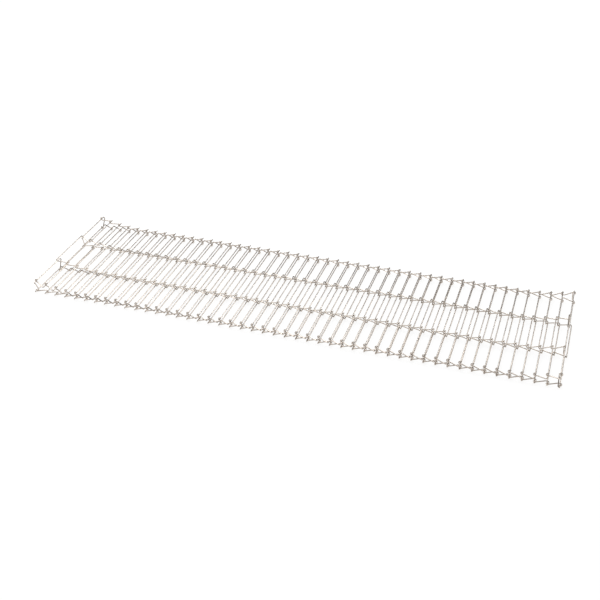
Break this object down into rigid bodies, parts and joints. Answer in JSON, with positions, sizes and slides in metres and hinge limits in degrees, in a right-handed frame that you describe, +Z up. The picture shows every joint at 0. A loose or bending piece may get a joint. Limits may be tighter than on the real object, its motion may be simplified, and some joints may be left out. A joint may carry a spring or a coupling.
{
  "type": "toaster conveyor belt",
  "caption": "Endless flat wire belt for a conveyor toaster: hooked wire strands with Z-bends and curled edges, lying slack as an upper and a lower run.",
  "frame": {"origin": "under the middle of the slack loop, on the surface that it lies on", "axes": "+X along the belt, +Y across it, +Z up from the lower run to the upper run"},
  "size_m": [0.9028, 0.2608, 0.0272],
  "materials": {
    "stainless_wire": "bright drawn stainless steel wire"
  },
  "bodies": {
    "lower_section_01": {"lower_strands_01_02": "stainless_wire", "lower_strands_03_04": "stainless_wire"},
    "lower_section_02": {"lower_strands_05_06": "stainless_wire", "lower_strands_07_08": "stainless_wire"},
    "lower_section_03": {"lower_strands_09_10": "stainless_wire", "lower_strands_11_12": "stainless_wire"},
    "lower_section_04": {"lower_strands_13_14": "stainless_wire", "lower_strands_15_16": "stainless_wire"},
    "lower_section_05": {"lower_strands_17_18": "stainless_wire", "lower_strand_19": "stainless_wire", "lower_strands_20_21": "stainless_wire"},
    "lower_section_06": {"lower_strands_22_23": "stainless_wire", "lower_strand_24": "stainless_wire", "lower_strands_25_26": "stainless_wire"},
    "lower_section_07": {"lower_strands_27_28": "stainless_wire", "lower_strand_29": "stainless_wire", "lower_strands_30_31": "stainless_wire"},
    "lower_section_08": {"lower_strands_32_33": "stainless_wire", "lower_strands_34_35": "stainless_wire"},
    "lower_section_09": {"lower_strands_36_37": "stainless_wire", "lower_strands_38_39": "stainless_wire"},
    "lower_section_10": {"lower_strands_40_41": "stainless_wire", "lower_strands_42_43": "stainless_wire"},
    "lower_section_11": {"lower_strands_44_45": "stainless_wire", "lower_strands_46_47": "stainless_wire"},
    "upper_section_01": {"upper_strands_01_02": "stainless_wire", "upper_strands_03_04": "stainless_wire"},
    "upper_section_02": {"upper_strands_05_06": "stainless_wire", "upper_strands_07_08": "stainless_wire"},
    "upper_section_03": {"upper_strands_09_10": "stainless_wire", "upper_strands_11_12": "stainless_wire"},
    "upper_section_04": {"upper_strands_13_14": "stainless_wire", "upper_strands_15_16": "stainless_wire"},
    "upper_section_05": {"upper_strands_17_18": "stainless_wire", "upper_strand_19": "stainless_wire", "upper_strands_20_21": "stainless_wire"},
    "upper_section_06": {"upper_strands_22_23": "stainless_wire", "upper_strand_24": "stainless_wire", "upper_strands_25_26": "stainless_wire"},
    "upper_section_07": {"upper_strands_27_28": "stainless_wire", "upper_strand_29": "stainless_wire", "upper_strands_30_31": "stainless_wire"},
    "upper_section_08": {"upper_strands_32_33": "stainless_wire", "upper_strands_34_35": "stainless_wire"},
    "upper_section_09": {"upper_strands_36_37": "stainless_wire", "upper_strands_38_39": "stainless_wire"},
    "upper_section_10": {"upper_strands_40_41": "stainless_wire", "upper_strands_42_43": "stainless_wire"},
    "upper_section_11": {"upper_strands_44_45": "stainless_wire", "upper_strands_46_47": "stainless_wire"},
    "right_end": {"right_end_strand": "stainless_wire"},
    "left_end": {"left_end_strand": "stainless_wire"}
  },
  "joints": [
    {"name": "lower_hinge_26_27", "type": "hinge", "parent": "lower_section_06", "child": "lower_section_07", "pos_m": [0.04763, 0, 0.00411], "axis": [0, -1, 0], "range_deg": [0, 14.04]},
    {"name": "lower_hinge_31_32", "type": "hinge", "parent": "lower_section_07", "child": "lower_section_08", "pos_m": [0.14288, 0, 0.00411], "axis": [0, -1, 0], "range_deg": [0, 12.2]},
    {"name": "lower_hinge_35_36", "type": "hinge", "parent": "lower_section_08", "child": "lower_section_09", "pos_m": [0.21907, 0, 0.00411], "axis": [0, -1, 0], "range_deg": [0, 10.28]},
    {"name": "lower_hinge_39_40", "type": "hinge", "parent": "lower_section_09", "child": "lower_section_10", "pos_m": [0.29528, 0, 0.00411], "axis": [0, -1, 0], "range_deg": [0, 9.67]},
    {"name": "lower_hinge_43_44", "type": "hinge", "parent": "lower_section_10", "child": "lower_section_11", "pos_m": [0.37147, 0, 0.00411], "axis": [0, -1, 0], "range_deg": [0, 9.06]},
    {"name": "right_end_lower_hinge", "type": "hinge", "parent": "lower_section_11", "child": "right_end", "pos_m": [0.44767, 0, 0.00411], "axis": [0, 1, 0], "range_deg": [0, 91.29]},
    {"name": "right_end_upper_hinge", "type": "hinge", "parent": "right_end", "child": "upper_section_01", "pos_m": [0.44661, 0, 0.02314], "axis": [0, 1, 0], "range_deg": [0, 22.23]},
    {"name": "upper_hinge_04_05", "type": "hinge", "parent": "upper_section_01", "child": "upper_section_02", "pos_m": [0.37147, 0, 0.01157], "axis": [0, -1, 0], "range_deg": [0, 12.65]},
    {"name": "upper_hinge_08_09", "type": "hinge", "parent": "upper_section_02", "child": "upper_section_03", "pos_m": [0.29528, 0, 0.01157], "axis": [0, -1, 0], "range_deg": [0, 11.37]},
    {"name": "upper_hinge_12_13", "type": "hinge", "parent": "upper_section_03", "child": "upper_section_04", "pos_m": [0.21907, 0, 0.01157], "axis": [0, -1, 0], "range_deg": [0, 10.59]},
    {"name": "upper_hinge_16_17", "type": "hinge", "parent": "upper_section_04", "child": "upper_section_05", "pos_m": [0.14288, 0, 0.01157], "axis": [0, -1, 0], "range_deg": [0, 11.36]},
    {"name": "upper_hinge_21_22", "type": "hinge", "parent": "upper_section_05", "child": "upper_section_06", "pos_m": [0.04763, 0, 0.01157], "axis": [0, -1, 0], "range_deg": [0, 12.3]},
    {"name": "lower_hinge_21_22", "type": "hinge", "parent": "lower_section_06", "child": "lower_section_05", "pos_m": [-0.04763, 0, 0.00411], "axis": [0, 1, 0], "range_deg": [0, 14.04]},
    {"name": "lower_hinge_16_17", "type": "hinge", "parent": "lower_section_05", "child": "lower_section_04", "pos_m": [-0.14288, 0, 0.00411], "axis": [0, 1, 0], "range_deg": [0, 12.2]},
    {"name": "lower_hinge_12_13", "type": "hinge", "parent": "lower_section_04", "child": "lower_section_03", "pos_m": [-0.21907, 0, 0.00411], "axis": [0, 1, 0], "range_deg": [0, 10.28]},
    {"name": "lower_hinge_08_09", "type": "hinge", "parent": "lower_section_03", "child": "lower_section_02", "pos_m": [-0.29528, 0, 0.00411], "axis": [0, 1, 0], "range_deg": [0, 9.67]},
    {"name": "lower_hinge_04_05", "type": "hinge", "parent": "lower_section_02", "child": "lower_section_01", "pos_m": [-0.37147, 0, 0.00411], "axis": [0, 1, 0], "range_deg": [0, 9.06]},
    {"name": "left_end_lower_hinge", "type": "hinge", "parent": "lower_section_01", "child": "left_end", "pos_m": [-0.44767, 0, 0.00411], "axis": [0, -1, 0], "range_deg": [0, 91.29]},
    {"name": "left_end_upper_hinge", "type": "hinge", "parent": "left_end", "child": "upper_section_11", "pos_m": [-0.44661, 0, 0.02314], "axis": [0, -1, 0], "range_deg": [0, 22.23]},
    {"name": "upper_hinge_43_44", "type": "hinge", "parent": "upper_section_11", "child": "upper_section_10", "pos_m": [-0.37147, 0, 0.01157], "axis": [0, 1, 0], "range_deg": [0, 12.65]},
    {"name": "upper_hinge_39_40", "type": "hinge", "parent": "upper_section_10", "child": "upper_section_09", "pos_m": [-0.29528, 0, 0.01157], "axis": [0, 1, 0], "range_deg": [0, 11.37]},
    {"name": "upper_hinge_35_36", "type": "hinge", "parent": "upper_section_09", "child": "upper_section_08", "pos_m": [-0.21907, 0, 0.01157], "axis": [0, 1, 0], "range_deg": [0, 10.59]},
    {"name": "upper_hinge_31_32", "type": "hinge", "parent": "upper_section_08", "child": "upper_section_07", "pos_m": [-0.14288, 0, 0.01157], "axis": [0, 1, 0], "range_deg": [0, 11.36]}
  ],
  "couplings": [
    {"joint": "lower_hinge_26_27", "follows": "right_end_lower_hinge", "ratio": 0.15384},
    {"joint": "lower_hinge_31_32", "follows": "right_end_lower_hinge", "ratio": 0.13363},
    {"joint": "lower_hinge_35_36", "follows": "right_end_lower_hinge", "ratio": 0.11257},
    {"joint": "lower_hinge_39_40", "follows": "right_end_lower_hinge", "ratio": 0.1059},
    {"joint": "lower_hinge_43_44", "follows": "right_end_lower_hinge", "ratio": 0.0993},
    {"joint": "right_end_upper_hinge", "follows": "right_end_lower_hinge", "ratio": 0.24357},
    {"joint": "upper_hinge_04_05", "follows": "right_end_lower_hinge", "ratio": 0.13857},
    {"joint": "upper_hinge_08_09", "follows": "right_end_lower_hinge", "ratio": 0.12452},
    {"joint": "upper_hinge_12_13", "follows": "right_end_lower_hinge", "ratio": 0.116},
    {"joint": "upper_hinge_16_17", "follows": "right_end_lower_hinge", "ratio": 0.12447},
    {"joint": "upper_hinge_21_22", "follows": "right_end_lower_hinge", "ratio": 0.13476},
    {"joint": "lower_hinge_21_22", "follows": "right_end_lower_hinge", "ratio": 0.15384},
    {"joint": "lower_hinge_16_17", "follows": "right_end_lower_hinge", "ratio": 0.13363},
    {"joint": "lower_hinge_12_13", "follows": "right_end_lower_hinge", "ratio": 0.11257},
    {"joint": "lower_hinge_08_09", "follows": "right_end_lower_hinge", "ratio": 0.1059},
    {"joint": "lower_hinge_04_05", "follows": "right_end_lower_hinge", "ratio": 0.0993},
    {"joint": "left_end_lower_hinge", "follows": "right_end_lower_hinge", "ratio": 1},
    {"joint": "left_end_upper_hinge", "follows": "right_end_lower_hinge", "ratio": 0.24357},
    {"joint": "upper_hinge_43_44", "follows": "right_end_lower_hinge", "ratio": 0.13857},
    {"joint": "upper_hinge_39_40", "follows": "right_end_lower_hinge", "ratio": 0.12452},
    {"joint": "upper_hinge_35_36", "follows": "right_end_lower_hinge", "ratio": 0.116},
    {"joint": "upper_hinge_31_32", "follows": "right_end_lower_hinge", "ratio": 0.12447}
  ]
}
